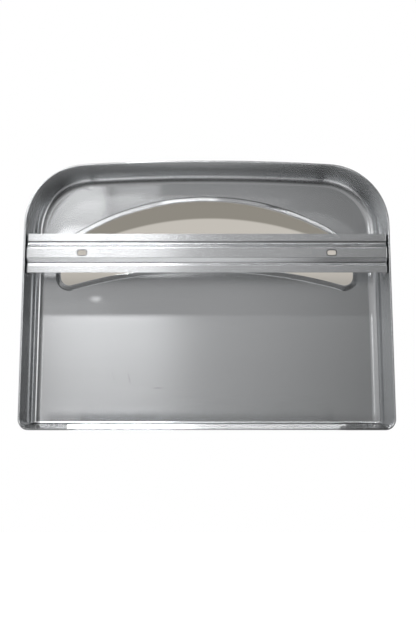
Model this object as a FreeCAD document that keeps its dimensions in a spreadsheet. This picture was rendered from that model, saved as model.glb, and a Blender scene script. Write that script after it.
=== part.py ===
# Surface-mounted seat cover dispenser: a drawn steel housing, open at the back,
# with a ribbed mounting bar welded across its rear opening.
#
# Frame: the origin is midway between the two mounting slots, in the plane of the wall.
# +Z is up, the front of the housing faces -Y, and the wall is the plane Y = 0.
import FreeCAD, Part
import math
import os
import Sketcher

os.makedirs("parts", exist_ok=True)
doc = FreeCAD.newDocument("seat_cover_dispenser")

# Driving dimensions, in millimetres and degrees
DIMENSIONS = (
    # Housing outline in the wall plane
    ("sheet", 0.8),
    ("case_width", 400.4),
    ("case_depth", 50.0),
    ("case_rise", 100.5),
    ("case_drop", 188.5),
    ("side_lean", 1.0),
    ("top_crown", 2200.0),
    ("top_corner", 68.0),
    ("base_corner", 12.0),
    # Draft over the whole depth, and the radius round the front
    ("wall_draft", 6.0),
    ("base_draft", 2.7),
    ("front_round", 11.0),
    ("base_round", 4.0),
    # Safe edge folded back inside the rear rim
    ("hem_thickness", 2.0),
    ("hem_depth", 6.0),
    ("hem_bevel", 0.6),
    # Crescent opening and its turned-in rim
    ("crescent_side_margin", 36.0),
    ("crescent_top_margin", 36.2),
    ("crescent_height", 74.1),
    ("crescent_top_arc", 278.0),
    ("crescent_base_arc", 560.0),
    ("crescent_upper_corner", 14.0),
    ("crescent_lower_corner", 9.7),
    ("rim_width", 5.0),
    ("rim_height", 2.0),
    ("rim_edge", 1.2),
    # Loading opening in the bottom wall, in front of a turned-up lip
    ("end_ledge", 53.2),
    ("loading_inset", 4.0),
    ("rear_ledge", 8.0),
    ("front_ledge", 10.0),
    ("loading_corner", 4.0),
    ("lip_height", 6.2),
    ("lip_lean", 2.5),
    ("lip_bend", 0.4),
    ("lip_corner", 1.8),
    # Mounting bar
    ("bar_sheet", 1.0),
    ("bar_end_gap", 1.4),
    ("bar_height", 41.8),
    ("bar_band", 10.8),
    ("bar_riser", 5.0),
    ("bar_groove", 1.2),
    ("bar_groove_slope", 1.4),
    ("bar_set_back", 3.5),
    ("bar_groove_depth", 1.1),
    ("bar_crease_round", 0.7),
    ("bar_bend", 1.6),
    ("tab_depth", 30.0),
    ("tab_corner", 5.0),
    # Wall slots
    ("slot_spacing", 267.4),
    ("slot_length", 9.6),
    ("slot_width", 5.2),
    # How far a cutting body passes the piece that it cuts
    ("cut_margin", 2.0),
)

sizes = doc.addObject("Spreadsheet::Sheet", "Sizes")
for row, (alias, value) in enumerate(DIMENSIONS, start=1):
    sizes.set(f"A{row}", alias)
    sizes.set(f"B{row}", str(value))
    sizes.setAlias(f"B{row}", alias)
doc.recompute()


def size(alias):
    """The value of a cell of the sheet."""
    return float(getattr(sizes, alias))


def value_of(text):
    """The value that an expression on the sheet's cells has now."""
    found = sizes.evalExpression(text.replace("Sizes.", ""))
    return float(getattr(found, "Value", found))


def origin_plane(body, role):
    for feature in body.Origin.OriginFeatures:
        if feature.Role == role:
            return feature
    raise ValueError(role)


def new_body(name):
    body = doc.addObject("PartDesign::Body", name)
    body.Label = name
    return body


def new_sketch(body, name, role, offset="0"):
    """A sketch on one of the body's own planes, moved along its normal by an expression."""
    sketch = body.newObject("Sketcher::SketchObject", name)
    sketch.AttachmentSupport = (origin_plane(body, role), [""])
    sketch.MapMode = "FlatFace"
    sketch.setExpression(".AttachmentOffset.Base.z", offset)
    return sketch


def dimension(sketch, name, text, kind, *places):
    """A named constraint whose value is an expression on the sheet."""
    value = value_of(text)
    if kind == "Angle":
        value = math.radians(value)
    index = sketch.addConstraint(Sketcher.Constraint(kind, *places, value))
    sketch.renameConstraint(index, name)
    unit = " * 1 deg" if kind == "Angle" else ""
    sketch.setExpression(f"Constraints.{name}", f"({text}){unit}")


def vector(x, y):
    return FreeCAD.Vector(x, y, 0)


def arc(centre, radius, start, end):
    """A circular arc, counterclockwise between two points that lie on it."""
    circle = Part.Circle(centre, vector(0, 0) + FreeCAD.Vector(0, 0, 1), radius)
    angles = [math.atan2(p.y - centre.y, p.x - centre.x) for p in (start, end)]
    return Part.ArcOfCircle(circle, angles[0], angles[1])


START, END, CENTRE = range(1, 4)
LEVEL_AXIS, VERTICAL_AXIS = range(-1, -3, -1)
ORIGIN_POINT = (LEVEL_AXIS, START)


def draw_loop(sketch, reach, top, crown, shoulder, base, lean="0", foot=None, base_arc=None):
    """A closed loop, alike on both sides: straight sides that lean inwards, a crowned top,
    rounded shoulders, and a straight base with sharp corners. With a foot radius the lower
    corners are rounded, and the base is an arc about a centre below it.
    Every argument is an expression on the sheet."""
    half, high, radius = value_of(reach), value_of(top), value_of(crown)
    r_up, low = value_of(shoulder), value_of(base)
    tilt = math.radians(value_of(lean))
    out = vector(math.cos(tilt), math.sin(tilt))
    crown_centre = vector(0, high - radius)
    if foot is None:
        side_low = vector(half, low)
    else:
        # The foot touches the side, and the base's arc from above
        r_low, below = value_of(foot), value_of(base_arc)
        base_centre = vector(0, low - below)
        reach_up = math.sqrt((below + r_low) ** 2 - (half - r_low) ** 2)
        foot_centre = vector(half - r_low, base_centre.y + reach_up)
        foot_end = base_centre + (foot_centre - base_centre) * (below / (below + r_low))
        side_low = foot_centre + out * r_low
    # The shoulder's centre is r_up inside the side, and radius - r_up from the crown's centre
    along = vector(-out.y, out.x)
    inside = side_low - out * r_up - crown_centre
    half_b = inside.dot(along)
    gap = inside.dot(inside) - (radius - r_up) ** 2
    shoulder_centre = crown_centre + inside + along * (math.sqrt(half_b ** 2 - gap) - half_b)
    side_high = shoulder_centre + out * r_up
    crown_end = crown_centre + (shoulder_centre - crown_centre) * (radius / (radius - r_up))

    def other(point):
        return vector(-point.x, point.y)

    pieces = {
        "right_side": Part.LineSegment(side_low, side_high),
        "right_shoulder": arc(shoulder_centre, r_up, side_high, crown_end),
        "crown": arc(crown_centre, radius, crown_end, other(crown_end)),
        "left_shoulder": arc(other(shoulder_centre), r_up, other(crown_end), other(side_high)),
        "left_side": Part.LineSegment(other(side_high), other(side_low)),
    }
    if foot is None:
        pieces["base"] = Part.LineSegment(other(side_low), side_low)
    else:
        pieces["left_foot"] = arc(other(foot_centre), r_low, other(side_low), other(foot_end))
        pieces["base"] = arc(base_centre, below, foot_end, other(foot_end))
        pieces["right_foot"] = arc(foot_centre, r_low, foot_end, side_low)
    names = list(pieces)
    at = {name: names.index(name) for name in names}
    for piece in pieces.values():
        sketch.addGeometry(piece, False)
    # An arc of the base runs against the loop, so its ends are the other way round
    base_ends = (START, END) if foot is None else (END, START)
    for index, name in enumerate(names):
        following = names[(index + 1) % len(names)]
        leaving = base_ends[1] if name == "base" else END
        arriving = base_ends[0] if following == "base" else START
        sharp = foot is None and "base" in (name, following)
        kind = "Coincident" if sharp else "Tangent"
        join = (at[name], leaving, at[following], arriving)
        sketch.addConstraint(Sketcher.Constraint(kind, *join))
    sketch.addConstraint(Sketcher.Constraint("PointOnObject", at["crown"], CENTRE, VERTICAL_AXIS))
    shoulders = (at["right_shoulder"], at["left_shoulder"])
    sketch.addConstraint(Sketcher.Constraint("Equal", *shoulders))
    side_ends = (at["right_side"], END, at["left_side"], START, VERTICAL_AXIS)
    sketch.addConstraint(Sketcher.Constraint("Symmetric", *side_ends))
    dimension(sketch, "crown", crown, "Radius", at["crown"])
    dimension(sketch, "shoulder", shoulder, "Radius", at["right_shoulder"])
    crown_place = (*ORIGIN_POINT, at["crown"], CENTRE)
    dimension(sketch, "crown_height", f"({top}) - ({crown})", "DistanceY", *crown_place)
    dimension(sketch, "lean", f"90 + ({lean})", "Angle", at["right_side"])
    if foot is None:
        base_place = (*ORIGIN_POINT, at["base"], END)
        dimension(sketch, "base_height", base, "DistanceY", *base_place)
        dimension(sketch, "reach", reach, "DistanceX", *base_place)
        sketch.addConstraint(Sketcher.Constraint("Horizontal", at["base"]))
    else:
        sketch.addConstraint(Sketcher.Constraint("Equal", at["right_foot"], at["left_foot"]))
        sketch.addConstraint(Sketcher.Constraint("PointOnObject", at["base"], CENTRE, VERTICAL_AXIS))
        dimension(sketch, "foot", foot, "Radius", at["right_foot"])
        dimension(sketch, "base_arc", base_arc, "Radius", at["base"])
        foot_place = (*ORIGIN_POINT, at["right_foot"], CENTRE)
        dimension(sketch, "foot_place", f"({reach}) - ({foot})", "DistanceX", *foot_place)
        base_place = (*ORIGIN_POINT, at["base"], CENTRE)
        dimension(sketch, "base_height", f"({base}) - ({base_arc})", "DistanceY", *base_place)
    if sketch.solve() != 0:
        raise RuntimeError(f"{sketch.Name} has no solution")


def draw_polygon(sketch, points):
    """A closed polygon whose corners are pairs of expressions on the sheet."""
    places = [vector(value_of(x), value_of(y)) for x, y in points]
    count = len(points)
    for index in range(count):
        line = Part.LineSegment(places[index], places[(index + 1) % count])
        sketch.addGeometry(line, False)
    for index in range(count):
        following = (index + 1) % count
        sketch.addConstraint(Sketcher.Constraint("Coincident", index, END, following, START))
    for index, (x, y) in enumerate(points):
        dimension(sketch, f"across_{index}", x, "DistanceX", *ORIGIN_POINT, index, START)
        dimension(sketch, f"up_{index}", y, "DistanceY", *ORIGIN_POINT, index, START)
    if sketch.solve() != 0:
        raise RuntimeError(f"{sketch.Name} has no solution")


def loft(body, name, sketches):
    feature = body.newObject("PartDesign::AdditiveLoft", name)
    feature.Profile = sketches[0]
    feature.Sections = [(sketch, [""]) for sketch in sketches[1:]]
    feature.Ruled = True
    doc.recompute()
    return feature


def edges_where(shape, test, whole=True):
    """Numbers of the edges that pass the test at both ends and midway, or only midway."""
    numbers = []
    for number, edge in enumerate(shape.Edges, start=1):
        first, last = edge.ParameterRange
        middle = (first + last) / 2
        places = (first, middle, last) if whole else (middle,)
        if all(test(edge.valueAt(place)) for place in places):
            numbers.append(number)
    return numbers


def edge_names(numbers):
    return [f"Edge{number}" for number in numbers]


def faces_where(shape, test):
    """Names of the faces that pass the test."""
    return [f"Face{number}" for number, face in enumerate(shape.Faces, start=1) if test(face)]


def fillet(body, name, base, radius, test, whole=True):
    feature = body.newObject("PartDesign::Fillet", name)
    feature.Base = (base, edge_names(edges_where(base.Shape, test, whole)))
    feature.Radius = value_of(radius)
    feature.setExpression("Radius", radius)
    doc.recompute()
    return feature


def dress_edges(kind, name, base, radius, test):
    """Rounds or bevels the edges that pass the test, outside any body."""
    feature = doc.addObject(f"Part::{kind}", name)
    feature.Base = base
    amount = value_of(radius)
    feature.Edges = [(number, amount, amount) for number in edges_where(base.Shape, test)]
    doc.recompute()
    return feature


def settle(feature):
    """Recompute, and once more so that the feature finds the faces that it names."""
    doc.recompute()
    feature.touch()
    doc.recompute()


def near(value, target, tolerance=0.01):
    return abs(value - target) < tolerance


# Housing
LEAN = "tan(Sizes.side_lean * 1 deg)"
UPRIGHT = "cos(Sizes.side_lean * 1 deg)"
INNER_FRONT = "Sizes.case_depth - Sizes.sheet"
RIM_TOP = f"{INNER_FRONT} - Sizes.rim_height"
CRESCENT_REACH = "Sizes.case_width / 2 - Sizes.crescent_side_margin"
CRESCENT_TOP = "Sizes.case_rise - Sizes.crescent_top_margin"
LIP_REACH = "(Sizes.case_width / 2 - Sizes.end_ledge)"
LOADING_REACH = f"({LIP_REACH} - Sizes.loading_inset)"


def inset_at(depth, wall, draft="Sizes.wall_draft"):
    """How far the outline has moved in at a depth from the wall plane, behind a wall."""
    return f"({draft} * ({depth}) / Sizes.case_depth + ({wall}))"


def base_at(depth, wall):
    """Height of the base at a depth from the wall plane, above a wall."""
    return f"({inset_at(depth, wall, 'Sizes.base_draft')} - Sizes.case_drop)"


def draw_case_outline(sketch, depth, wall):
    inset = inset_at(depth, wall)
    foot_inset = inset_at(depth, wall, "Sizes.base_draft")
    draw_loop(
        sketch,
        reach=f"Sizes.case_width / 2 - {inset} / {UPRIGHT} - {foot_inset} * {LEAN}",
        top=f"Sizes.case_rise - {inset}",
        crown=f"Sizes.top_crown - {inset}",
        shoulder=f"Sizes.top_corner - {inset}",
        base=base_at(depth, wall),
        lean="Sizes.side_lean",
    )


def draft_faces(body, name, base, slope, test):
    """Leans the chosen faces inwards from their rear edges."""
    shape = base.Shape
    rearmost = shape.BoundBox.YMax
    feature = body.newObject("PartDesign::Draft", name)
    feature.Base = (base, faces_where(shape, test))
    feature.NeutralPlane = (base, faces_where(shape, lambda face: near(face.CenterOfMass.y, rearmost)))
    feature.setExpression("Angle", f"atan({slope} / Sizes.case_depth)")
    feature.Reversed = True
    settle(feature)
    return feature


def build_block(name, rear, front, wall):
    """A solid with the housing's drafted faces and sharp edges, between two depths."""
    body = new_body(name)
    sketch = new_sketch(body, "Outline", "XZ_Plane", rear)
    draw_case_outline(sketch, rear, wall)
    pad = body.newObject("PartDesign::Pad", "Depth")
    pad.Profile = sketch
    pad.setExpression("Length", f"({front}) - ({rear})")
    doc.recompute()
    ends = (-value_of(rear), -value_of(front))
    base_height = value_of(base_at(rear, wall))

    def upright(face):
        middle = face.CenterOfMass
        return not near(middle.y, ends[0]) and not near(middle.y, ends[1])

    def above_base(face):
        return upright(face) and not near(face.BoundBox.ZMax, base_height)

    def base_face(face):
        return upright(face) and near(face.BoundBox.ZMin, base_height) and face.BoundBox.ZLength < 1

    walls = draft_faces(body, "WallDraft", pad, "Sizes.wall_draft", above_base)
    return body, draft_faces(body, "BaseDraft", walls, "Sizes.base_draft", base_face)


def build_pan(name, rear, front, wall):
    """The block with the large radius round the front of its sides and top. The base has a
    small radius at the front, which grows to the base corner's radius at the rear."""
    body, block = build_block(name, rear, front, wall)
    ends = (-value_of(rear), -value_of(front))
    above = value_of(base_at(front, wall)) + 1

    def front_edge(point):
        return near(point.y, ends[1])

    loop = [number for number in edges_where(block.Shape, front_edge)
            if block.Shape.Edges[number - 1].BoundBox.ZMax > above]
    round_front = body.newObject("PartDesign::Fillet", "FrontRound")
    round_front.Base = (block, edge_names(loop))
    round_front.Radius = value_of(f"Sizes.front_round - ({wall})")
    round_front.setExpression("Radius", f"Sizes.front_round - ({wall})")
    doc.recompute()

    fall = value_of("Sizes.base_draft / Sizes.case_depth")
    datum = value_of(base_at("0", wall))

    def on_base(point):
        return near(point.z, datum - point.y * fall) and point.y < ends[0] + 0.01

    small = value_of(f"Sizes.base_round - ({wall})")
    large = value_of(f"Sizes.base_corner - ({wall})")
    radii = []
    for number in edges_where(round_front.Shape, on_base):
        box = round_front.Shape.Edges[number - 1].BoundBox
        if box.YMin > ends[0] - 0.1:
            continue
        if box.YMax < ends[0] - 0.1:
            radii.append((number, small, small))
        elif box.XMax > 0:
            radii.append((number, large, small))
        else:
            radii.append((number, small, large))
    rounded = doc.addObject("Part::Fillet", name + "_rounded")
    rounded.Base = body
    rounded.Edges = radii
    doc.recompute()
    return rounded


def build_mouth():
    """The space inside the safe edge."""
    rear, front, wall = "0", "Sizes.hem_depth", "Sizes.hem_thickness"
    body, block = build_block("hem_mouth", rear, front, wall)
    floor = value_of(base_at(front, wall)) + 0.01
    deepest = -value_of(front)

    def upright_base_edge(point):
        return point.z < floor and not near(point.y, 0) and not near(point.y, deepest)

    fillet(body, "BaseCorners", block, f"Sizes.base_corner - ({wall})", upright_base_edge,
           whole=False)
    return body


def draw_crescent(sketch, margin):
    """The dispensing opening's outline, widened by a margin all round."""
    draw_loop(
        sketch,
        reach=f"{CRESCENT_REACH} + ({margin})",
        top=f"{CRESCENT_TOP} + ({margin})",
        crown=f"Sizes.crescent_top_arc + ({margin})",
        shoulder=f"Sizes.crescent_upper_corner + ({margin})",
        base=f"{CRESCENT_TOP} - Sizes.crescent_height - ({margin})",
        foot=f"Sizes.crescent_lower_corner + ({margin})",
        base_arc=f"Sizes.crescent_base_arc - ({margin})",
    )


def crescent_section(body, name, depth, margin):
    sketch = new_sketch(body, name, "XZ_Plane", depth)
    draw_crescent(sketch, margin)
    return sketch


def build_collar():
    """Turned-in rim of the crescent: a sloping collar on the inside of the front."""
    body = new_body("crescent_collar")
    loft(body, "RimCollar", (
        crescent_section(body, "CollarFoot", INNER_FRONT, "Sizes.rim_width"),
        crescent_section(body, "CollarEdge", RIM_TOP, "Sizes.rim_edge"),
    ))
    return body


def build_crescent():
    """The crescent opening, which narrows towards the top of its rim."""
    body = new_body("crescent_space")
    loft(body, "CrescentOpening", (
        crescent_section(body, "OpeningFront", "Sizes.case_depth", "Sizes.rim_width - Sizes.sheet"),
        crescent_section(body, "OpeningEdge", RIM_TOP, "0"),
    ))
    return body


def build_loading_space():
    """The pack goes in from below, between two ledges that the bottom wall leaves at its ends."""
    body = new_body("loading_space")
    sketch = new_sketch(body, "LoadingOutline", "XY_Plane", "-Sizes.case_drop - Sizes.cut_margin")
    front = "Sizes.front_ledge - Sizes.case_depth"
    draw_polygon(sketch, (
        (f"-{LOADING_REACH}", front),
        (LOADING_REACH, front),
        (LOADING_REACH, "-Sizes.rear_ledge"),
        (f"-{LOADING_REACH}", "-Sizes.rear_ledge"),
    ))
    pad = body.newObject("PartDesign::Pad", "Height")
    pad.Profile = sketch
    pad.setExpression("Length", "Sizes.base_draft + Sizes.sheet + 2 * Sizes.cut_margin")
    doc.recompute()
    side = value_of(LOADING_REACH)
    ends = (value_of(front), -size("rear_ledge"))
    fillet(body, "LoadingCorners", pad, "Sizes.loading_corner",
           lambda point: near(abs(point.x), side) and (near(point.y, ends[0]) or near(point.y, ends[1])))
    return body


def build_lip_section(name, corners):
    """A body drawn out along X over the width of the lip, from (Y, Z) corners."""
    body = new_body(name)
    sketch = new_sketch(body, "Section", "YZ_Plane")
    draw_polygon(sketch, corners)
    pad = body.newObject("PartDesign::Pad", "Width")
    pad.Profile = sketch
    pad.Midplane = True
    pad.setExpression("Length", f"2 * {LIP_REACH}")
    doc.recompute()
    return body, pad


def build_lip_space():
    """The stretch of the rear rim that the lip takes the place of."""
    low = "-Sizes.case_drop - Sizes.cut_margin"
    high = "Sizes.hem_thickness + Sizes.cut_margin - Sizes.case_drop"
    rear, front = "Sizes.cut_margin", "-Sizes.hem_depth"
    corners = ((rear, low), (rear, high), (front, high), (front, low))
    return build_lip_section("lip_space", corners)[0]


def build_lip():
    """The rear edge of the bottom wall, turned up and leaning forward, as one bent strip."""
    head = "Sizes.lip_height - Sizes.case_drop"
    heel = "(Sizes.sheet * (1 + Sizes.lip_lean / Sizes.lip_height))"
    body, strip = build_lip_section("loading_lip", (
        ("0", "-Sizes.case_drop"),
        ("-Sizes.lip_lean", head),
        ("-Sizes.lip_lean - Sizes.sheet", head),
        (f"-{heel}", base_at(heel, "Sizes.sheet")),
        ("-Sizes.hem_depth", base_at("Sizes.hem_depth", "Sizes.sheet")),
        ("-Sizes.hem_depth", base_at("Sizes.hem_depth", "0")),
    ))
    low, top = -size("case_drop"), value_of(head)
    inner = (-value_of(heel), value_of(base_at(heel, "Sizes.sheet")))
    outside = fillet(body, "OuterBend", strip, "Sizes.lip_bend + Sizes.sheet",
                     lambda point: near(point.y, 0) and near(point.z, low))
    inside = fillet(body, "InnerBend", outside, "Sizes.lip_bend",
                    lambda point: near(point.y, inner[0]) and near(point.z, inner[1]))
    side = value_of(LIP_REACH)
    fillet(body, "LipCorners", inside, "Sizes.lip_corner",
           lambda point: near(abs(point.x), side) and near(point.z, top))
    return body


def part_boolean(kind, name, base, tool):
    result = doc.addObject(f"Part::{kind}", name)
    result.Base = base
    result.Tool = tool
    result.Refine = True
    doc.recompute()
    return result


def cut(name, base, tool):
    """A cut that has to remove something from the piece."""
    result = part_boolean("Cut", name, base, tool)
    if not result.Shape.Volume < base.Shape.Volume - 1.0:
        raise RuntimeError(f"{name} removes nothing")
    return result


def build_shell():
    """Drawn pan: drafted walls, a large radius round the front, a folded safe edge at the
    back, the crescent opening with its turned-in rim, and the loading opening below."""
    outer = build_pan("case_outside", "0", "Sizes.case_depth", "0")
    cavity = build_pan("case_inside", "Sizes.hem_depth", INNER_FRONT, "Sizes.sheet")
    hollow = cut("case_hollow", outer, cavity)
    open_case = cut("case_open", hollow, build_mouth())
    folded = dress_edges("Chamfer", "case_folded", open_case, "Sizes.hem_bevel",
                         lambda point: near(point.y, 0))
    collared = part_boolean("Fuse", "case_collared", folded, build_collar())
    windowed = cut("case_windowed", collared, build_crescent())
    notched = cut("case_notched", windowed, build_lip_space())
    lipped = part_boolean("Fuse", "case_lipped", notched, build_lip())
    shell = cut("body_shell", lipped, build_loading_space())
    shell.Label = "body_shell"
    return shell


# Mounting bar
BAND_EDGE = "Sizes.bar_band / 2"
RISER_FOOT = f"({BAND_EDGE} + Sizes.bar_riser)"
GROOVE_END = f"({RISER_FOOT} + Sizes.bar_groove)"
FLANGE_START = f"({GROOVE_END} + Sizes.bar_groove_slope)"
BAR_EDGE = "Sizes.bar_height / 2"
GROOVE_FLOOR = "-Sizes.bar_set_back - Sizes.bar_groove_depth"


def bar_rear_outline(forward, reach):
    """Corners of the bar's ribbed face from its top edge down, as (Y, Z) pairs."""
    flange = f"-Sizes.bar_set_back - ({forward})"
    groove = f"{GROOVE_FLOOR} - ({forward})"
    band = f"-({forward})"
    upper = (
        (flange, reach),
        (flange, FLANGE_START),
        (groove, GROOVE_END),
        (groove, RISER_FOOT),
        (band, BAND_EDGE),
    )
    lower = [(y, f"-({z})") for y, z in reversed(upper)]
    return [*upper, *lower]


def bar_extrusion(name, forward, reach, front, crease):
    """The bar's section from its ribbed face to a plane in front of it, drawn out along X."""
    body = new_body(name)
    sketch = new_sketch(body, "Section", "YZ_Plane")
    outline = bar_rear_outline(forward, reach)
    draw_polygon(sketch, [*outline, (f"-({front})", f"-({reach})"), (f"-({front})", reach)])
    pad = body.newObject("PartDesign::Pad", "Bar")
    pad.Profile = sketch
    pad.Midplane = True
    pad.setExpression("Length", "Sizes.case_width")
    doc.recompute()
    deepest = value_of(f"{GROOVE_FLOOR} - ({forward})") - 0.1
    edge = value_of(reach) - 0.1
    creased = fillet(body, "Creases", pad, crease,
                     lambda point: point.y > deepest and abs(point.z) < edge)
    front_plane = -value_of(front)
    fillet(body, "TabCorners", creased, "Sizes.tab_corner",
           lambda point: near(point.y, front_plane) and near(abs(point.z), value_of(reach)))
    return body


def wall_face(depth, height, wall="Sizes.sheet"):
    """X of the side wall's inner face at a depth from the wall plane and a height."""
    inset = inset_at(depth, wall)
    return f"(Sizes.case_width / 2 - (({height}) + Sizes.case_drop) * {LEAN} - {inset} / {UPRIGHT})"


def bar_plan(name, inset):
    """The bar seen from above, as a solid: tabs run straight forward until they reach the
    drafted side walls, and then lie flat against them."""
    body = new_body(name)
    sketches = []
    above = f"({BAR_EDGE} + Sizes.cut_margin)"
    for label, height in (("Below", f"-{above}"), ("Above", above)):
        sketch = new_sketch(body, label, "XY_Plane", height)
        outer = f"({wall_face('0', height, 'Sizes.hem_thickness')} - Sizes.bar_end_gap)"
        rear_face = wall_face("0", height)
        front_face = wall_face("Sizes.case_depth", height)
        touch = f"(({rear_face} - {outer}) * Sizes.case_depth / ({rear_face} - {front_face}))"
        end_depth = "(Sizes.tab_depth + Sizes.cut_margin)"
        bend_x = f"({outer} - ({inset}))"
        end_x = f"({wall_face(end_depth, height)} - ({inset}))"
        draw_polygon(sketch, (
            (bend_x, "Sizes.cut_margin"),
            (bend_x, f"-{touch}"),
            (end_x, f"-{end_depth}"),
            (f"-{end_x}", f"-{end_depth}"),
            (f"-{bend_x}", f"-{touch}"),
            (f"-{bend_x}", "Sizes.cut_margin"),
        ))
        sketches.append(sketch)
    loft(body, "Plan", sketches)
    return body


def round_bends(block):
    """Rounds the corner where the ribbed face turns into each end tab."""
    half = value_of(wall_face("0", "0", "Sizes.hem_thickness")) - size("bar_end_gap")
    swing = value_of(f"Sizes.bar_height * {LEAN}")
    deepest = value_of(GROOVE_FLOOR) - 0.1
    return dress_edges("Fillet", "bar_bent_block", block, "Sizes.bar_bend",
                       lambda point: near(abs(point.x), half, swing) and point.y > deepest)


def bar_slots():
    """Two level slots for the wall screws."""
    body = new_body("bar_slots")
    sketch = new_sketch(body, "SlotOutlines", "XZ_Plane", "-Sizes.cut_margin")
    reach = "(Sizes.slot_length - Sizes.slot_width) / 2"
    radius = "Sizes.slot_width / 2"
    for number, side in enumerate((-1, 1)):
        middle = side * size("slot_spacing") / 2
        run, r = value_of(reach), value_of(radius)
        left, right = vector(middle - run, 0), vector(middle + run, 0)
        up = vector(0, r)
        first = 4 * number
        sketch.addGeometry(Part.LineSegment(left - up, right - up), False)
        sketch.addGeometry(arc(right, r, right - up, right + up), False)
        sketch.addGeometry(Part.LineSegment(right + up, left + up), False)
        sketch.addGeometry(arc(left, r, left + up, left - up), False)
        for index in range(4):
            joined = (first + index, END, first + (index + 1) % 4, START)
            sketch.addConstraint(Sketcher.Constraint("Tangent", *joined))
        sketch.addConstraint(Sketcher.Constraint("Horizontal", first))
        dimension(sketch, f"end_{number}", radius, "Radius", first + 1)
        centre = f"{side} * Sizes.slot_spacing / 2"
        for end, sign, shift in ((first + 1, "right", reach), (first + 3, "left", f"-{reach}")):
            dimension(sketch, f"{sign}_{number}", f"{centre} + {shift}", "DistanceX",
                      *ORIGIN_POINT, end, CENTRE)
        sketch.addConstraint(Sketcher.Constraint("DistanceY", *ORIGIN_POINT, first + 1, CENTRE, 0.0))
    pad = body.newObject("PartDesign::Pad", "Slots")
    pad.Profile = sketch
    pad.setExpression("Length", "Sizes.bar_sheet + 2 * Sizes.cut_margin")
    doc.recompute()
    return body


def build_bar():
    """One strip: a ribbed bar whose ends are bent forward into tabs, welded to the walls."""
    outer_section = bar_extrusion("bar_outer_section", "0", BAR_EDGE, "Sizes.tab_depth",
                                  "Sizes.bar_crease_round")
    inner_section = bar_extrusion("bar_inner_section", "Sizes.bar_sheet",
                                  f"{BAR_EDGE} + Sizes.cut_margin",
                                  "Sizes.tab_depth + Sizes.cut_margin", "Sizes.bar_crease_round")
    outer_plan = bar_plan("bar_outer_plan", "0")
    inner_plan = bar_plan("bar_inner_plan", "Sizes.bar_sheet")
    block = part_boolean("Common", "bar_block", outer_section, outer_plan)
    space = part_boolean("Common", "bar_space", inner_section, inner_plan)
    bent = round_bends(block)
    strip = part_boolean("Cut", "bar_strip", bent, space)
    slotted = part_boolean("Cut", "mounting_bar", strip, bar_slots())
    slotted.Label = "mounting_bar"
    return slotted


NODES = (build_shell(), build_bar())

doc.recompute()
for item in doc.Objects:
    if "Invalid" in item.State or "Error" in item.State:
        raise RuntimeError(f"{item.Name} failed")
for node in NODES:
    if node.Shape.isNull() or not node.Shape.isValid() or len(node.Shape.Solids) != 1:
        raise RuntimeError(f"{node.Label} is not one valid solid")
    node.Shape.exportStep(f"parts/{node.Label}.step")
    print(node.Label, round(node.Shape.Volume), node.Shape.optimalBoundingBox(False))
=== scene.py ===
import math

import bpy
import numpy as np
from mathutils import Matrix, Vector


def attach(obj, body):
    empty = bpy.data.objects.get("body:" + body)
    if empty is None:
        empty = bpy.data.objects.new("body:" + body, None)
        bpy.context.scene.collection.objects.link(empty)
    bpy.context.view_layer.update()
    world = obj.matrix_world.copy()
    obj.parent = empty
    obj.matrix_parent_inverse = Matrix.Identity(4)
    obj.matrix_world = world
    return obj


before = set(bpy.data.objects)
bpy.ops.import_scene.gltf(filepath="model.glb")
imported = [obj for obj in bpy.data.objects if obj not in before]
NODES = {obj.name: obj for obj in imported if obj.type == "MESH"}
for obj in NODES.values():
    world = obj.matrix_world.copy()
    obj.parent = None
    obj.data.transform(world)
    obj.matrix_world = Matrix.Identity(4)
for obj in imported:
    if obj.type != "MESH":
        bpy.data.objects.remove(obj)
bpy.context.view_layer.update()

bl_info = {
    "name": "Seat cover dispenser",
    "version": (1, 0, 0),
    "blender": (4, 5, 0),
    "location": "3D View > Sidebar > Dispenser",
    "description": "Satin steel finish, studio and camera for a seat cover dispenser",
    "category": "Add Mesh",
}

# Places are in metres. The wall is at y = 0 and the wall slots are at z = 0. The camera stands on
# the wall side, so x grows towards the left of its picture.

# Brush lines of the steel: the axis they run along, the detail of their noise, and the darkest and
# lightest share of the steel's colour, with the levels of the noise at which they are reached. The
# broad bands are a coarser noise, given by its waves per metre along and across the lines, which
# moves the roughness up and down.
GRAIN_AXIS = (1.0, 0.0, 0.0)
GRAIN_DETAIL = 4.0
GRAIN_DARK, GRAIN_LIGHT = 0.96, 1.03
GRAIN_STOPS = (0.25, 0.75)
GRAIN_BUMP, GRAIN_DEPTH = 0.01, 0.0001
BAND_ALONG, BAND_ACROSS = 6.0, 260.0
BAND_DETAIL = 3.0
ROUGHNESS_SPREAD = 0.008
# The bar's steel is painted this much brighter than the housing's: painted light.
BAR_PAINTED_LIGHT = 1.09

# Darker places: painted shade on the end ledges and round the bar's slots, and scratches. A tone is
# the share of its brightness that the steel keeps there, and a fade is the width over which it gets
# there.
# Painted shade on the end ledges of the bottom wall: darker where x is further out and z lower than
# these.
LEDGE_X, LEDGE_Z = 0.139, -0.1835
LEDGE_FADE_X, LEDGE_FADE_Z = 0.002, 0.0015
LEDGE_SHADE = 0.42
# Painted shade round the edge of each slot in the bar, out from the straight line through its
# middle.
SLOT_X, SLOT_STRAIGHT, SLOT_SHADE_REACH = 0.1337, 0.0022, 0.0034
SLOT_SHADE_FADE, SLOT_SHADE_TONE = 0.0004, 0.30
# Each scratch: x and z of its middle, half length, half width, tilt in degrees, and the share of
# the brightness that is lost. It goes right through the sheet, so its half depth is very large,
# and it has its full loss over a core of half its size.
SCRATCHES = (
    (0.0545, -0.1457, 0.0065, 0.0007, 0.0, 0.25),
    (0.0869, -0.1346, 0.0080, 0.0010, -75.0, 0.12),
    (0.1048, -0.1324, 0.0070, 0.0009, -70.0, 0.10),
    (0.1395, 0.0801, 0.0120, 0.0007, -20.0, 0.30),
)
SCRATCH_DEPTH, SCRATCH_CORE = 1000.0, 0.5

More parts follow.
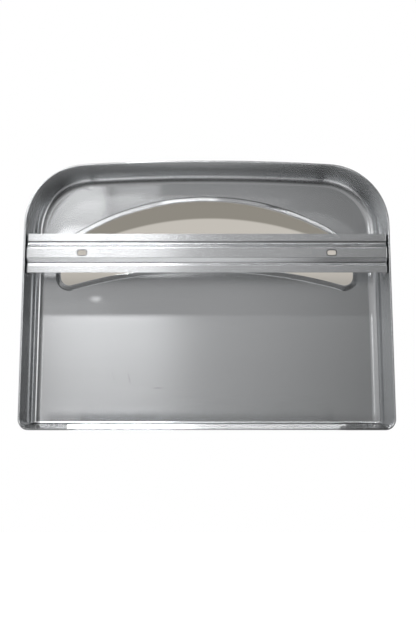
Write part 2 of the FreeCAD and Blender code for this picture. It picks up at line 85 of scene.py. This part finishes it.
# The rolled edge lies on the inner face of the front panel. Its profile has three parts, each a
# row of distances out from the crescent's outline and a row of heights. The step stands on the
# panel, and its distances are counted from the rim's width. The band rises from a share of the
# rim's height to all of it. The turn goes over into the opening, and its heights are counted
# from the rim's height.
PANEL_Y = -0.0492
STEP_OUT = (0.0006, 0.0001, -0.0001, -0.0002)
STEP_UP = (-0.0001, 0.0001, 0.0004, 0.0008)
BAND_INSET, BAND_END = 0.0004, 0.0012
BAND_RISE = (0.55, 1.0)
BAND_ROWS = 9
TURN_OUT = (0.0007, 0.0002, -0.0001, 0.0000, 0.0013)
TURN_UP = (0.00005, -0.00005, -0.0004, -0.0009, -0.0010)

# The beige card: its y, well beyond the front panel, the arc between its light part and its painted
# shadow, and its foot, painted shade that gets brighter from this share of its colour to all of it
# between two heights.
CARD_Y = -1.6
CARD_ARC_CENTRE = (-0.011, CARD_Y, -0.592)
CARD_ARC_RADIUS, CARD_ARC_FADE = 0.895, 0.007
CARD_FOOT, CARD_FOOT_TOP, CARD_FOOT_TONE = 0.09, 0.16, 0.6

# The tent's tones run over this share of its radius each way, and it stops short of its poles,
# at this angle in radians.
TENT_REACH = 0.45
TENT_RISE = 1.5

# Tones of the other stage finishes, from 0 to 1.
FILL_GREY, FILL_STRENGTH = 0.8, 0.8
FLOOR_GREY, FLOOR_GLOW = 0.9, 0.6
DARK_GREY = 0.03

CAMERA_PLACE = (0.0, 0.89735, -0.11455)
CAMERA_TILT = 94.4
CAMERA_LENS, CAMERA_SENSOR = 48.70, 36.0
CAMERA_SHIFT = (0.0018, -0.0272)


class SteelSettings(bpy.types.PropertyGroup):
    """Colour and grain of the satin steel sheet."""

    colour: bpy.props.FloatVectorProperty(
        name="Steel colour", description="Colour of the polished metal",
        subtype="COLOR", size=3, min=0.0, max=1.0, default=(0.61, 0.62, 0.63))
    roughness: bpy.props.FloatProperty(
        name="Roughness", description="Roughness of the satin finish",
        subtype="FACTOR", min=0.0, max=1.0, default=0.20)
    anisotropy: bpy.props.FloatProperty(
        name="Grain spread", description="How far the grain spreads a highlight across itself",
        subtype="FACTOR", min=0.0, max=1.0, default=1.0)
    grain_width: bpy.props.FloatProperty(
        name="Grain width", description="Width of one brush line",
        subtype="DISTANCE", unit="LENGTH", min=0.00005, default=0.0004)
    grain_length: bpy.props.FloatProperty(
        name="Grain length", description="Length of one brush line",
        subtype="DISTANCE", unit="LENGTH", min=0.001, default=0.05)


class RimSettings(bpy.types.PropertyGroup):
    """Outline of the crescent opening and the rolled edge round it."""

    reach: bpy.props.FloatProperty(
        name="Half width", description="Half the width of the crescent",
        subtype="DISTANCE", unit="LENGTH", default=0.1642)
    top: bpy.props.FloatProperty(
        name="Top", description="Height of the crescent's top above the wall slots",
        subtype="DISTANCE", unit="LENGTH", default=0.0643)
    base: bpy.props.FloatProperty(
        name="Base", description="Height of the middle of the crescent's base",
        subtype="DISTANCE", unit="LENGTH", default=-0.0098)
    top_arc: bpy.props.FloatProperty(
        name="Top arc", description="Radius of the top arc",
        subtype="DISTANCE", unit="LENGTH", default=0.278)
    base_arc: bpy.props.FloatProperty(
        name="Base arc", description="Radius of the base arc",
        subtype="DISTANCE", unit="LENGTH", default=0.560)
    upper_corner: bpy.props.FloatProperty(
        name="Upper corner", description="Radius of the upper corners",
        subtype="DISTANCE", unit="LENGTH", default=0.014)
    lower_corner: bpy.props.FloatProperty(
        name="Lower corner", description="Radius of the lower corners",
        subtype="DISTANCE", unit="LENGTH", default=0.0097)
    width: bpy.props.FloatProperty(
        name="Rim width", description="Width of the rolled edge on the panel",
        subtype="DISTANCE", unit="LENGTH", default=0.0056)
    height: bpy.props.FloatProperty(
        name="Rim height", description="How far the rolled edge stands up from the panel",
        subtype="DISTANCE", unit="LENGTH", default=0.0021)


class StudioSettings(bpy.types.PropertyGroup):
    """Powers of the lamps, tones of the tent, and colours and height of the stage."""

    strip_power: bpy.props.FloatProperty(
        name="Strip power", description="Power of the high strip lamp on the left",
        unit="POWER", min=0.0, default=25.5)
    strip_right_power: bpy.props.FloatProperty(
        name="Right strip power", description="Power of the high strip lamp on the right",
        unit="POWER", min=0.0, default=5.0)
    strip_height: bpy.props.FloatProperty(
        name="Strip height", description="Height of the strip lamps above the dispenser",
        subtype="DISTANCE", unit="LENGTH", default=1.33)
    close_power: bpy.props.FloatProperty(
        name="Close lamp power",
        description="Power of the small lamp close to the upper left corner",
        unit="POWER", min=0.0, default=0.13)
    rim_power: bpy.props.FloatProperty(
        name="Rim lamp power", description="Power of the small lamp that lights the crescent's rim",
        unit="POWER", min=0.0, default=0.16)
    side_power: bpy.props.FloatProperty(
        name="Side lamp power",
        description="Power of the lamp that draws a line down the left wall",
        unit="POWER", min=0.0, default=0.7)
    low_power: bpy.props.FloatProperty(
        name="Low lamp power",
        description="Power of the wide lamp below, which lights the bar's lower step",
        unit="POWER", min=0.0, default=0.9)
    tent_left: bpy.props.FloatProperty(
        name="Tent left", description="Brightness of the left side of the tent",
        min=0.0, default=0.70)
    tent_middle: bpy.props.FloatProperty(
        name="Tent middle", description="Brightness of the middle of the tent",
        min=0.0, default=0.60)
    tent_right: bpy.props.FloatProperty(
        name="Tent right", description="Brightness of the right side of the tent",
        min=0.0, default=0.21)
    tent_low: bpy.props.FloatProperty(
        name="Tent low", description="Share of its brightness that the tent has near the floor",
        subtype="FACTOR", min=0.0, max=1.0, default=0.14)
    tent_high: bpy.props.FloatProperty(
        name="Tent high", description="Share of its brightness that the tent has overhead",
        subtype="FACTOR", min=0.0, max=1.0, default=0.55)
    tent_radius: bpy.props.FloatProperty(
        name="Tent radius", description="Radius of the half round tent on the wall side",
        subtype="DISTANCE", unit="LENGTH", min=1.5, default=2.6)
    floor_drop: bpy.props.FloatProperty(
        name="Floor drop", description="Height of the dispenser's wall slots above the floor",
        subtype="DISTANCE", unit="LENGTH", min=0.2, default=1.5)
    background: bpy.props.FloatVectorProperty(
        name="Background", description="Colour of the background and the floor",
        subtype="COLOR", size=3, min=0.0, max=1.0, default=(1.0, 1.0, 1.0))
    beige: bpy.props.FloatVectorProperty(
        name="Backdrop", description="Colour of the card that shows through the crescent",
        subtype="COLOR", size=3, min=0.0, max=1.0, default=(0.552, 0.521, 0.474))
    beige_shade: bpy.props.FloatVectorProperty(
        name="Backdrop shade", description="Colour of the card where it lies in shade",
        subtype="COLOR", size=3, min=0.0, max=1.0, default=(0.271, 0.254, 0.220))


class Nodes:
    """The nodes of one material or of the world, from an empty tree with its output."""

    def __init__(self, owner, output):
        owner.use_nodes = True
        self.tree = owner.node_tree
        self.tree.nodes.clear()
        self.output = self.add(output)

    def add(self, kind, **values):
        """A new node with some of its values set."""
        node = self.tree.nodes.new(kind)
        for key, value in values.items():
            setattr(node, key, value)
        return node

    def put(self, source, target):
        """Link a socket to an input, or set the input to a plain value."""
        if isinstance(source, bpy.types.NodeSocket):
            self.tree.links.new(source, target)
        else:
            target.default_value = source

    def finish(self, shader):
        """Send a shader's socket to the output."""
        self.put(shader, self.output.inputs["Surface"])

    def place(self):
        """Object coordinates."""
        return self.add("ShaderNodeTexCoord").outputs["Object"]

    def axes(self, vector):
        """The x, y and z of a vector."""
        node = self.add("ShaderNodeSeparateXYZ")
        self.put(vector, node.inputs["Vector"])
        return node.outputs

    def math(self, operation, first, second=None, **values):
        """One step of arithmetic on one or two sockets or numbers."""
        node = self.add("ShaderNodeMath", operation=operation, **values)
        self.put(first, node.inputs[0])
        if second is not None:
            self.put(second, node.inputs[1])
        return node.outputs["Value"]

    def vector(self, operation, result, first, second=None):
        """One step of vector arithmetic, and the output named in result."""
        node = self.add("ShaderNodeVectorMath", operation=operation)
        self.put(first, node.inputs[0])
        if second is not None:
            self.put(second, node.inputs[1])
        return node.outputs[result]

    def span(self, value, source, target=(0.0, 1.0), **values):
        """A value that runs from one pair of numbers to another, and stays at them beyond."""
        node = self.add("ShaderNodeMapRange", **values)
        self.put(value, node.inputs["Value"])
        node.inputs["From Min"].default_value, node.inputs["From Max"].default_value = source
        node.inputs["To Min"].default_value, node.inputs["To Max"].default_value = target
        return node.outputs["Result"]

    def grain(self, place, along, across, detail):
        """Noise with some waves per metre along the brush lines and more across them."""
        stretch = self.add("ShaderNodeMapping")
        stretch.inputs["Scale"].default_value = [along if axis else across for axis in GRAIN_AXIS]
        self.put(place, stretch.inputs["Vector"])
        noise = self.add("ShaderNodeTexNoise")
        noise.inputs["Scale"].default_value = 1.0
        noise.inputs["Detail"].default_value = detail
        self.put(stretch.outputs["Vector"], noise.inputs["Vector"])
        return noise.outputs["Fac"]

    def glow(self, colour, strength=1.0):
        """Light of its own, with a colour and a strength."""
        node = self.add("ShaderNodeEmission")
        self.put(colour, node.inputs["Color"])
        self.put(strength, node.inputs["Strength"])
        return node.outputs["Emission"]

    def matt(self, grey):
        """A matt grey surface."""
        node = self.add("ShaderNodeBsdfDiffuse")
        node.inputs["Color"].default_value = (grey, grey, grey, 1.0)
        return node.outputs["BSDF"]


def new_finish(name):
    """A new material and its nodes."""
    material = bpy.data.materials.new(name)
    return material, Nodes(material, "ShaderNodeOutputMaterial")


def ledge_shade_and_scratch_mask(nodes, place):
    """How much of its brightness the housing keeps: painted shade on the end ledges, and less on
    the scratches.

    The ledges are where x is further out than LEDGE_X and z is lower than LEDGE_Z. A scratch is an
    ellipse in x and z that fades from its core to its edge.
    """
    axes = nodes.axes(place)
    sideways = nodes.span(nodes.math("ABSOLUTE", axes["X"]), (LEDGE_X, LEDGE_X + LEDGE_FADE_X))
    down = nodes.span(axes["Z"], (LEDGE_Z, LEDGE_Z - LEDGE_FADE_Z))
    ledge = nodes.math("MULTIPLY", sideways, down)
    level = nodes.span(ledge, (0.0, 1.0), (1.0, LEDGE_SHADE))
    for x, z, half_length, half_width, tilt, loss in SCRATCHES:
        local = nodes.add("ShaderNodeMapping", vector_type="TEXTURE")
        local.inputs["Location"].default_value = (x, 0.0, z)
        local.inputs["Rotation"].default_value = (0.0, math.radians(tilt), 0.0)
        local.inputs["Scale"].default_value = (half_length, SCRATCH_DEPTH, half_width)
        nodes.put(place, local.inputs["Vector"])
        away = nodes.vector("LENGTH", "Value", local.outputs["Vector"])
        scratch = nodes.span(away, (1.0, SCRATCH_CORE), (1.0, 1.0 - loss))
        level = nodes.math("MULTIPLY", level, scratch)
    return level


def slot_shade_mask(nodes, place):
    """How much of its brightness the bar keeps: painted shade round the edge of each punched slot.

    The distance to a slot is measured from the straight line through its middle, with x taken
    as its absolute value, so that both slots get the same painted shade.
    """
    axes = nodes.axes(place)
    outwards = nodes.math("ABSOLUTE", axes["X"])
    beside = nodes.math("ABSOLUTE", nodes.math("SUBTRACT", outwards, SLOT_X))
    beyond = nodes.math("MAXIMUM", nodes.math("SUBTRACT", beside, SLOT_STRAIGHT), 0.0)
    flat = nodes.add("ShaderNodeCombineXYZ")
    nodes.put(beyond, flat.inputs["X"])
    nodes.put(axes["Z"], flat.inputs["Z"])
    away = nodes.vector("LENGTH", "Value", flat.outputs["Vector"])
    return nodes.span(away, (SLOT_SHADE_REACH, SLOT_SHADE_REACH + SLOT_SHADE_FADE), (SLOT_SHADE_TONE, 1.0))


def brushed_steel(name, settings, mask, tint=1.0):
    """Satin steel with its brush lines along GRAIN_AXIS.

    The tangent is the surface normal crossed with the grain axis, so a highlight spreads
    across the lines on every wall. The lines are noise in object coordinates, squeezed
    across the grain axis and stretched along it. The mask gives the share of its brightness
    that each place keeps, which is painted shade, and on the housing also scratches. The tint
    scales the whole colour; on the bar it is painted light.
    """
    material, nodes = new_finish(name)
    shader = nodes.add("ShaderNodeBsdfPrincipled")
    shader.inputs["Metallic"].default_value = 1.0
    shader.inputs["Anisotropic"].default_value = settings.anisotropy
    nodes.finish(shader.outputs["BSDF"])

    place = nodes.place()
    lines = nodes.grain(place, 1.0 / settings.grain_length, 1.0 / settings.grain_width,
                        GRAIN_DETAIL)
    bands = nodes.grain(place, BAND_ALONG, BAND_ACROSS, BAND_DETAIL)

    colour = nodes.add("ShaderNodeValToRGB")
    dark, light = colour.color_ramp.elements
    dark.position, light.position = GRAIN_STOPS
    dark.color = [value * GRAIN_DARK * tint for value in settings.colour] + [1.0]
    light.color = [min(value * GRAIN_LIGHT * tint, 1.0) for value in settings.colour] + [1.0]
    nodes.put(lines, colour.inputs["Fac"])
    dimmed = nodes.add("ShaderNodeVectorMath", operation="SCALE")
    nodes.put(colour.outputs["Color"], dimmed.inputs[0])
    nodes.put(mask(nodes, place), dimmed.inputs["Scale"])
    nodes.put(dimmed.outputs["Vector"], shader.inputs["Base Color"])

    rough = nodes.span(bands, (0.0, 1.0), (settings.roughness - ROUGHNESS_SPREAD,
                                           settings.roughness + ROUGHNESS_SPREAD))
    nodes.put(rough, shader.inputs["Roughness"])

    bump = nodes.add("ShaderNodeBump")
    bump.inputs["Strength"].default_value = GRAIN_BUMP
    bump.inputs["Distance"].default_value = GRAIN_DEPTH
    nodes.put(lines, bump.inputs["Height"])
    nodes.put(bump.outputs["Normal"], shader.inputs["Normal"])

    normal = nodes.add("ShaderNodeNewGeometry").outputs["Normal"]
    turn = nodes.vector("CROSS_PRODUCT", "Vector", normal, GRAIN_AXIS)
    nodes.put(nodes.vector("NORMALIZE", "Vector", turn), shader.inputs["Tangent"])
    return material


def dress(node, material):
    """Give every material slot of a CAD node the new finish."""
    slots = NODES[node].material_slots
    if not slots:
        raise RuntimeError(f"{node} has no material slot")
    for slot in slots:
        slot.material = material


def grid_mesh(name, points, closed=False):
    """A quad grid through an array of points with shape (rows, columns, 3). A closed one joins its
    last row to its first and its last column to its first."""
    rows, columns, _ = points.shape
    index = np.arange(rows * columns).reshape(rows, columns)
    if closed:
        index = np.pad(index, ((0, 1), (0, 1)), mode="wrap")
    quads = np.stack([index[:-1, :-1], index[:-1, 1:], index[1:, 1:], index[1:, :-1]], axis=-1)
    mesh = bpy.data.meshes.new(name)
    mesh.from_pydata(points.reshape(-1, 3).tolist(), [], quads.reshape(-1, 4).tolist())
    mesh.update()
    return mesh


def show(name, data):
    """A new object with this data, in the scene."""
    thing = bpy.data.objects.new(name, data)
    bpy.context.scene.collection.objects.link(thing)
    return thing


def hide_from(thing, *rays):
    """Hide an object from some kinds of ray, such as camera, diffuse or glossy."""
    for ray in rays:
        setattr(thing, f"visible_{ray}", False)


def crescent_outline(rim):
    """Points (x, z) once round the crescent and the outward normal at each.

    Every stretch is an arc, centre + radius * (cos a, sin a), and the straight sides join the
    corner arcs. An arc leaves its last point to the arc after it. The shoulder's centre is on the
    circle top_arc - upper_corner about the crown's centre, and the foot's on the circle
    base_arc + lower_corner about the base's centre. The base arc is seen from outside its circle,
    so its normals point to its centre.
    """
    crown = np.array([0.0, rim.top - rim.top_arc])
    below = np.array([0.0, rim.base - rim.base_arc])
    x_up, x_low = rim.reach - rim.upper_corner, rim.reach - rim.lower_corner
    z_up = crown[1] + math.sqrt((rim.top_arc - rim.upper_corner) ** 2 - x_up ** 2)
    z_low = below[1] + math.sqrt((rim.base_arc + rim.lower_corner) ** 2 - x_low ** 2)
    a = math.atan2(z_up - crown[1], x_up)
    b = math.atan2(z_low - below[1], x_low)
    pi = math.pi
    # Centre, radius, first and last angle, number of points, side of the normal, and whether the
    # last point is kept because a straight side follows.
    stretches = (
        ((x_up, z_up), rim.upper_corner, 0.0, a, 12, 1.0, False),
        (crown, rim.top_arc, a, pi - a, 96, 1.0, False),
        ((-x_up, z_up), rim.upper_corner, pi - a, pi, 12, 1.0, True),
        ((-x_low, z_low), rim.lower_corner, pi, 2 * pi - b, 16, 1.0, False),
        (below, rim.base_arc, pi - b, b, 72, -1.0, False),
        ((x_low, z_low), rim.lower_corner, pi + b, 2 * pi, 16, 1.0, True),
    )
    points, normals = [], []
    for centre, radius, first, last, count, side, with_end in stretches:
        turn = np.linspace(first, last, count, endpoint=with_end)
        ray = np.stack([np.cos(turn), np.sin(turn)], axis=-1)
        points.append(np.array(centre) + radius * ray)
        normals.append(side * ray)
    return np.concatenate(points), np.concatenate(normals)


def rolled_edge(rim):
    """The rolled edge: each point of the outline plus its normal times a distance out, raised up
    from the panel towards the wall. The distances and heights are the profile's step, band and
    turn in a row. Along the band both run evenly, from t = 0 at the step to t = 1 at the turn."""
    t = np.linspace(0.0, 1.0, BAND_ROWS)
    start = rim.width - BAND_INSET
    low, high = BAND_RISE
    out = np.concatenate([rim.width + np.array(STEP_OUT), start + (BAND_END - start) * t, TURN_OUT])
    up = np.concatenate([STEP_UP, rim.height * (low + (high - low) * t),
                         rim.height + np.array(TURN_UP)])
    points, normals = crescent_outline(rim)
    flat = points[None, :, :] + out[::-1, None, None] * normals[None, :, :]
    depth = np.broadcast_to((PANEL_Y + up[::-1])[:, None], flat.shape[:2])
    return np.stack([flat[..., 0], depth, flat[..., 1]], axis=-1)


def half_dome(radius, rows=24, columns=48):
    """Half a sphere on the wall side: x = r cos(t) cos(p), y = r cos(t) sin(p), z = r sin(t),
    with p in 0..180 degrees and t from -TENT_RISE to TENT_RISE."""
    turn, rise = np.meshgrid(np.linspace(0.0, np.pi, columns),
                             np.linspace(-TENT_RISE, TENT_RISE, rows))
    return radius * np.stack([np.cos(rise) * np.cos(turn), np.cos(rise) * np.sin(turn),
                              np.sin(rise)], axis=-1)


def sheet(name, centre, half_size, finish):
    """A flat sheet: the centre plus u times (half x, 0, 0) and v times (0, half y, half z), with
    u and v from -1 to 1."""
    half_x, half_y, half_z = half_size
    u, v = np.meshgrid([-1.0, 1.0], [-1.0, 1.0])
    points = np.array(centre) + np.stack([half_x * u, half_y * v, half_z * v], axis=-1)
    thing = show(name, grid_mesh(name, points))
    thing.data.materials.append(finish)
    return thing


def tent_finish(settings):
    """The tent glows grey: smoothly from left through middle to right, and less low and high."""
    material, nodes = new_finish("tent_grey")
    axes = nodes.axes(nodes.place())
    reach = settings.tent_radius * TENT_REACH

    def ramp(value, first, middle, last):
        level = nodes.add("ShaderNodeValToRGB")
        level.color_ramp.interpolation = "EASE"
        level.color_ramp.elements.new(0.5)
        for stop, grey in zip(level.color_ramp.elements, (first, middle, last)):
            stop.color = (grey, grey, grey, 1.0)
        nodes.put(nodes.span(value, (-reach, reach)), level.inputs["Fac"])
        return level.outputs["Color"]

    both = nodes.add("ShaderNodeMix", data_type="RGBA", blend_type="MULTIPLY")
    both.inputs["Factor"].default_value = 1.0
    nodes.put(ramp(axes["X"], settings.tent_right, settings.tent_middle, settings.tent_left),
              both.inputs["A"])
    nodes.put(ramp(axes["Z"], settings.tent_low, 1.0, settings.tent_high), both.inputs["B"])
    nodes.finish(nodes.glow(both.outputs["Result"]))
    return material


def plain_world(settings):
    """White for the camera, gloss and glass, and a soft grey fill for everything else."""
    world = bpy.data.worlds.new("studio")
    bpy.context.scene.world = world
    nodes = Nodes(world, "ShaderNodeOutputWorld")
    path = nodes.add("ShaderNodeLightPath").outputs
    seen = nodes.math("ADD", path["Is Camera Ray"], path["Is Glossy Ray"])
    clear = nodes.math("ADD", seen, path["Is Transmission Ray"], use_clamp=True)
    mix = nodes.add("ShaderNodeMixShader")
    nodes.put(clear, mix.inputs["Fac"])
    grey = (FILL_GREY, FILL_GREY, FILL_GREY)
    for entry, colour, strength in ((1, grey, FILL_STRENGTH), (2, settings.background, 1.0)):
        light = nodes.add("ShaderNodeBackground")
        light.inputs["Color"].default_value = [*colour, 1.0]
        light.inputs["Strength"].default_value = strength
        nodes.put(light.outputs["Background"], mix.inputs[entry])
    nodes.finish(mix.outputs["Shader"])


def floor_finish(settings):
    """A pale matt floor that keeps shadows, with some light of its own so that it stays white."""
    material, nodes = new_finish("floor_white")
    both = nodes.add("ShaderNodeAddShader")
    nodes.put(nodes.matt(FLOOR_GREY), both.inputs[0])
    nodes.put(nodes.glow([*settings.background, 1.0], FLOOR_GLOW), both.inputs[1])
    nodes.finish(both.outputs["Shader"])
    return material


def card_finish(settings):
    """The beige card behind the crescent: a painted shadow above an arc, and painted shade towards
    its foot.
    """
    material, nodes = new_finish("beige_card")
    place = nodes.place()
    away = nodes.vector("DISTANCE", "Value", place, CARD_ARC_CENTRE)
    shade = nodes.span(away, (CARD_ARC_RADIUS, CARD_ARC_RADIUS + CARD_ARC_FADE),
                       interpolation_type="SMOOTHSTEP")
    colour = nodes.add("ShaderNodeMix", data_type="RGBA")
    nodes.put(shade, colour.inputs["Factor"])
    colour.inputs["A"].default_value = [*settings.beige, 1.0]
    colour.inputs["B"].default_value = [*settings.beige_shade, 1.0]
    foot = nodes.span(nodes.axes(place)["Z"], (CARD_FOOT, CARD_FOOT_TOP), (CARD_FOOT_TONE, 1.0))
    nodes.finish(nodes.glow(colour.outputs["Result"], foot))
    return material


def dark_finish():
    """Matt dark grey, for flags that shade the lamps and sheets that look dark in the steel."""
    material, nodes = new_finish("mat_grey")
    nodes.finish(nodes.matt(DARK_GREY))
    return material


def lamps(settings):
    """Each lamp's name, its place, the point that it shines at, its width, height and power. The
    lamps to the right of a first one have a share of its power."""
    high = settings.strip_height
    close, rim = settings.close_power, settings.rim_power
    return (
        ("strip_left", (0.35, 1.4, high), (0.35, 0.0, -0.07), 0.46, 0.10, settings.strip_power),
        ("strip_right", (-0.58, 1.4, high), (-0.58, 0.0, -0.07), 1.4, 0.10,
         settings.strip_right_power),
        ("close_lamp", (0.333, 0.20, 0.15), (0.2, -0.05, 0.0), 0.4, 0.03, close),
        ("close_middle", (0.10, 0.20, 0.15), (0.08, -0.05, 0.06), 0.065, 0.03, 0.055 * close),
        ("low_lamp", (0.20, 0.20, -0.90), (0.05, 0.0, 0.0), 0.9, 0.35, settings.low_power),
        ("rim_left", (0.26, 0.20, 0.22), (0.18, -0.05, 0.05), 0.34, 0.03, rim),
        ("rim_middle", (0.035, 0.20, 0.22), (0.03, -0.05, 0.05), 0.11, 0.03, 0.5 * rim),
        ("rim_right", (-0.07, 0.20, 0.22), (-0.05, -0.05, 0.05), 0.10, 0.03, 0.11 * rim),
        ("side_lamp", (-0.62, 0.42, -0.02), (0.19, -0.045, -0.02), 0.28, 0.5, settings.side_power),
    )


def area_lamp(name, place, target, width, height, power):
    """A rectangular lamp that shines at a point, hidden from the camera."""
    data = bpy.data.lights.new(name, "AREA")
    data.shape = "RECTANGLE"
    data.size = width
    data.size_y = height
    data.energy = power
    lamp = show(name, data)
    lamp.location = place
    lamp.rotation_euler = (Vector(target) - lamp.location).to_track_quat("-Z", "Y").to_euler()
    hide_from(lamp, "camera")


def stand_camera():
    """The camera of the photograph, a little below the slots and tilted up."""
    data = bpy.data.cameras.new("camera")
    data.sensor_fit = "VERTICAL"
    data.sensor_height = CAMERA_SENSOR
    data.lens = CAMERA_LENS
    data.shift_x, data.shift_y = CAMERA_SHIFT
    camera = show("camera", data)
    camera.location = CAMERA_PLACE
    camera.rotation_euler = (math.radians(CAMERA_TILT), 0.0, math.pi)
    bpy.context.scene.camera = camera


class DISPENSER_OT_housing(bpy.types.Operator):
    """Give the drawn housing its satin steel with the brush lines running across"""

    bl_idname = "dispenser.housing"
    bl_label = "Finish the housing"

    def execute(self, context):
        # The housing's mask paints shade on the end ledges and darkens its scratches.
        steel = brushed_steel("steel_housing", context.scene.dispenser_steel, ledge_shade_and_scratch_mask)
        dress("body_shell", steel)
        return {"FINISHED"}


class DISPENSER_OT_rim(bpy.types.Operator):
    """Lay the swelling of the rolled edge round the crescent over the housing"""

    bl_idname = "dispenser.rim"
    bl_label = "Add the crescent's rolled edge"

    def execute(self, context):
        points = rolled_edge(context.scene.dispenser_rim)
        rim = show("crescent_rim", grid_mesh("crescent_rim", points, closed=True))
        rim.data.polygons.foreach_set("use_smooth", [True] * len(rim.data.polygons))
        rim.data.materials.append(bpy.data.materials["steel_housing"])
        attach(rim, "root")
        return {"FINISHED"}


class DISPENSER_OT_bar(bpy.types.Operator):
    """Give the mounting bar its satin steel, with painted light that makes it a little brighter
    than the housing and painted shade round its slots
    """

    bl_idname = "dispenser.bar"
    bl_label = "Finish the mounting bar"

    def execute(self, context):
        steel = brushed_steel("steel_bar", context.scene.dispenser_steel, slot_shade_mask, tint=BAR_PAINTED_LIGHT)
        dress("mounting_bar", steel)
        return {"FINISHED"}


class DISPENSER_OT_stage(bpy.types.Operator):
    """Set up the background, the floor, the cards, the tent, the lamps and the camera"""

    bl_idname = "dispenser.stage"
    bl_label = "Set up the studio"

    def execute(self, context):
        # A sheet is given by its middle and half its size along x, y and z.
        settings = context.scene.dispenser_studio
        ground = -settings.floor_drop
        dark = dark_finish()
        plain_world(settings)

        floor = sheet("stage_floor", (0.0, 0.0, ground), (6.0, 6.0, 0.0), floor_finish(settings))

        card = sheet("stage_card", (0.0, CARD_Y, 0.23), (0.45, 0.0, 0.145), card_finish(settings))

        back = sheet("stage_back", (0.0, -1.0, 0.0), (1.1, 0.0, 0.8), dark)
        hide_from(back, "camera", "diffuse")

        tent = show("stage_tent", grid_mesh("stage_tent", half_dome(settings.tent_radius)))
        tent.data.materials.append(tent_finish(settings))
        hide_from(tent, "camera")

        for lamp in lamps(settings):
            area_lamp(*lamp)

        flag = sheet("stage_flag", (0.45, 0.10, 0.194), (0.35, 0.0, 0.028), dark)
        hide_from(flag, "camera", "diffuse")

        low = sheet("stage_low_flag", (0.0, 0.006, -0.128), (0.19, 0.0, 0.011), dark)
        hide_from(low, "camera", "diffuse", "glossy")

        mat = sheet("stage_mat", (0.0, 1.9, ground + 0.01), (3.0, 1.7, 0.0), dark)
        hide_from(mat, "camera", "diffuse")

        stand_camera()
        context.scene.view_settings.view_transform = "Standard"
        return {"FINISHED"}


class DISPENSER_PT_panel(bpy.types.Panel):
    """Sizes, colours and steps of the dispenser"""

    bl_idname = "DISPENSER_PT_panel"
    bl_label = "Seat cover dispenser"
    bl_space_type = "VIEW_3D"
    bl_region_type = "UI"
    bl_category = "Dispenser"

    def draw(self, context):
        layout = self.layout
        scene = context.scene
        for settings in (scene.dispenser_steel, scene.dispenser_rim, scene.dispenser_studio):
            for name in settings.__annotations__:
                layout.prop(settings, name)
        for step in STEPS:
            layout.operator(step.bl_idname)


STEPS = (DISPENSER_OT_housing, DISPENSER_OT_rim, DISPENSER_OT_bar, DISPENSER_OT_stage)
CLASSES = (SteelSettings, RimSettings, StudioSettings) + STEPS + (DISPENSER_PT_panel,)


def register():
    for entry in CLASSES:
        bpy.utils.register_class(entry)
    bpy.types.Scene.dispenser_steel = bpy.props.PointerProperty(type=SteelSettings)
    bpy.types.Scene.dispenser_rim = bpy.props.PointerProperty(type=RimSettings)
    bpy.types.Scene.dispenser_studio = bpy.props.PointerProperty(type=StudioSettings)


def unregister():
    del bpy.types.Scene.dispenser_studio
    del bpy.types.Scene.dispenser_rim
    del bpy.types.Scene.dispenser_steel
    for entry in reversed(CLASSES):
        bpy.utils.unregister_class(entry)


def main():
    """Run every step in order."""
    register()
    bpy.ops.dispenser.housing()
    bpy.ops.dispenser.rim()
    bpy.ops.dispenser.bar()
    bpy.ops.dispenser.stage()
    bpy.context.view_layer.update()


if __name__ == "__main__":
    main()
